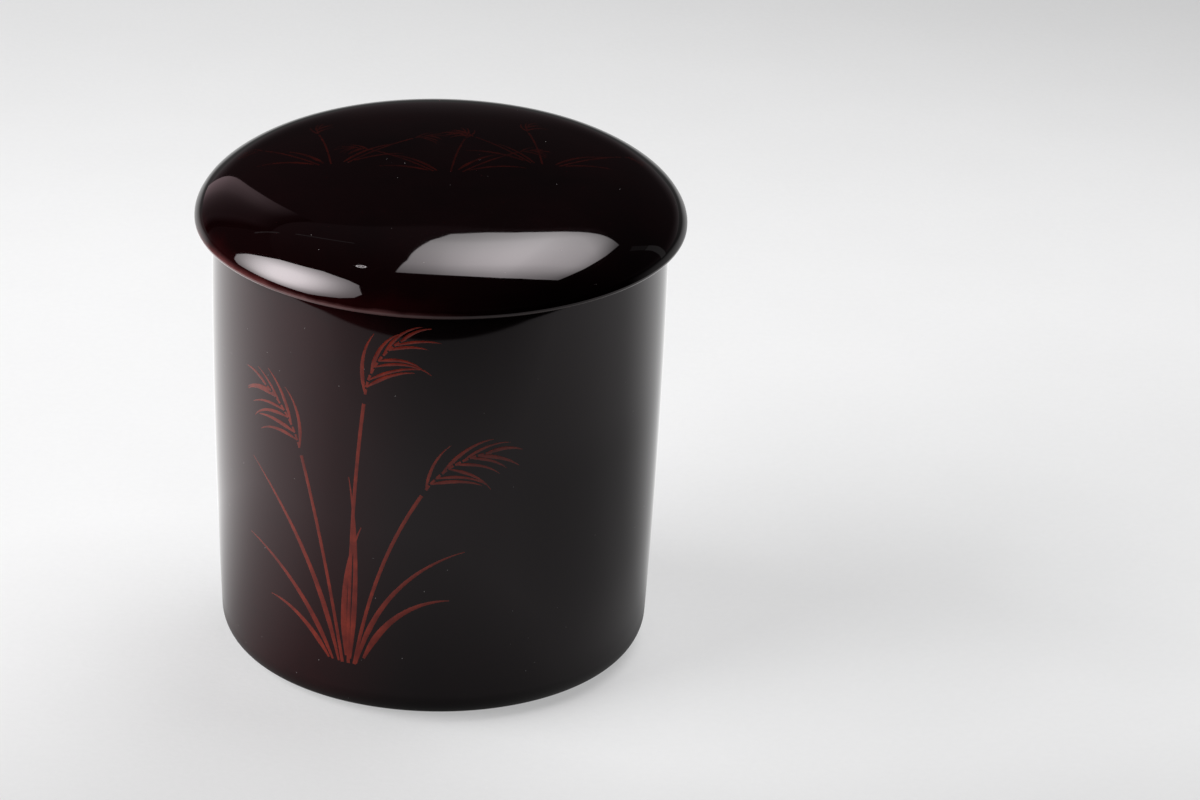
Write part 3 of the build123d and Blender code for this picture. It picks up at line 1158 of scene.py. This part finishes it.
roomStrips = [
    # thin things seen in the lid: the arm over the set and a stand to the right, as seen from the lid
    {"name": "lamp_arm", "from": (-0.62, 0.48, 0.60), "to": (-0.48, 0.47, 0.69),
     "width": 0.010, "strength": 0.28},
    {"name": "lamp_arm_end", "from": (-0.40, 0.47, 0.73), "to": (-0.22, 0.46, 0.84),
     "width": 0.010, "strength": 0.24},
    {"name": "lamp_stand", "from": (0.872, 0.49, -0.12), "to": (0.80, 0.44, 0.40),
     "width": 0.075, "strength": 0.15},
    {"name": "lamp_stand_top", "from": (0.80, 0.44, 0.41), "to": (0.72, 0.40, 0.56),
     "width": 0.07, "strength": 0.07},
]


def makeRoomStrips():
    lidHeight = Vector((0, 0, widestHeight * mm))
    for look in roomStrips:
        start, end = Vector(look["from"]).normalized(), Vector(look["to"]).normalized()
        side = (end - start).cross(start).normalized() * look["width"] / 2
        corners = [lidHeight + corner for corner in (start - side, start + side, end + side, end - side)]
        mirroredOnly(makeSheetMesh(look["name"], corners), lambda tree, place: look["strength"])


suns = [
    # azimuth 0 is behind the caddy (+Y), 90 is to the right (+X); strength 1 lights white paper fully
    {"name": "key_light", "azimuth": -103.7, "elevation": 27.6, "spread": 56.0, "strength": 0.45},
    {"name": "top_light", "azimuth": 49.7, "elevation": 64.3, "spread": 44.0, "strength": 0.45},
]


def makeSuns():
    for look in suns:
        azimuth, elevation = radians(look["azimuth"]), radians(look["elevation"])
        lamp = bpy.data.lights.new(look["name"], "SUN")
        lamp.angle = radians(look["spread"])
        lamp.energy = look["strength"] * pi / sin(elevation)
        thing = addObject(look["name"], lamp)
        direction = Vector((sin(azimuth) * cos(elevation), cos(azimuth) * cos(elevation), sin(elevation)))
        thing.rotation_euler = direction.to_track_quat("Z", "Y").to_euler()
        thing.visible_glossy = False


worldLook = {"lighting": 0.10, "seen": 0.85}  # how much it lights the set, and how bright it looks


def makeWorld():
    world = bpy.data.worlds.new("pale_studio")
    scene.world = world
    world.use_nodes = True
    tree = world.node_tree
    tree.nodes.clear()
    strength = remap(tree, seenRays(tree), 0.0, 1.0, worldLook["lighting"], worldLook["seen"])
    background = addNode(tree, "ShaderNodeBackground", {"Color": rgb(1, 1, 1), "Strength": strength})
    addNode(tree, "ShaderNodeOutputWorld", {"Surface": background})


makeFloor()
makeLitPatch()
makeDarkRoom()
makeWindow()
makeLeftLight()
makePaleScreen()
makeSmallLamp()
makeRoomStrips()
makeWorld()
makeSuns()
print("stage and lights made")


# Camera: a long lens that looks down at the cup

camera = {
    "focalPixels": 7905.882, "imageWidth": 1200, "imageHeight": 800, "sensor": 36.0,
    "distance": 1.1814, "elevation": 24.703, "roll": 1.648,
    "aimHeight": 0.02947, "aimPixel": (436.549, 451.123),
}


def makeCamera():
    data = bpy.data.cameras.new("camera")
    data.sensor_width = camera["sensor"]
    data.lens = camera["focalPixels"] / camera["imageWidth"] * camera["sensor"]
    data.clip_start, data.clip_end = 0.05, 100.0
    thing = addObject("camera", data)
    elevation, roll = radians(camera["elevation"]), radians(camera["roll"])
    look = Vector((0, cos(elevation), -sin(elevation)))
    across = (camera["aimPixel"][0] - camera["imageWidth"] / 2) / camera["focalPixels"]
    down = (camera["aimPixel"][1] - camera["imageHeight"] / 2) / camera["focalPixels"]
    # turn the camera so that the aim point lands on its pixel
    ray = Vector((across, -down, -1)).normalized()
    ray.rotate(Euler((0, 0, roll)))
    tilt = asin(look.z / hypot(ray.y, ray.z)) - atan2(ray.z, ray.y)
    ray.rotate(Euler((tilt, 0, 0)))
    yaw = atan2(look.y, look.x) - atan2(ray.y, ray.x)
    turnBy = Euler((0, 0, roll)).to_matrix()
    turnBy = Euler((tilt, 0, 0)).to_matrix() @ turnBy
    turnBy = Euler((0, 0, yaw)).to_matrix() @ turnBy
    thing.matrix_world = turnBy.to_4x4()
    thing.location = Vector((0, 0, camera["aimHeight"])) - look * camera["distance"]
    scene.camera = thing


makeCamera()
scene.view_settings.view_transform = "Standard"
print("camera made")


# Which body each piece rides on, which CAD node it stands for and which finish it takes
pieces = [
    (cupShell, "body", "body_outer_lacquer", "red_black_lacquer"),
    (cupInner, "body", "body_lining", "black_lacquer"),
    (neckPiece, "body", "neck_ring", "black_lacquer"),
    (footPiece, "body", "base_lacquer", "black_lacquer"),
    (grass, "body", None, "red_black_lacquer"),
    (lidShell, "lid", "lid_outer_lacquer", "red_black_lacquer"),
    (lidInside, "lid", "lid_lining", "black_lacquer"),
    (sprig, "lid", None, "red_black_lacquer"),
]
for piece, bodyName, nodeName, slotName in pieces:
    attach(piece, bodyName)
    if nodeName:
        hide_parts(nodeName)
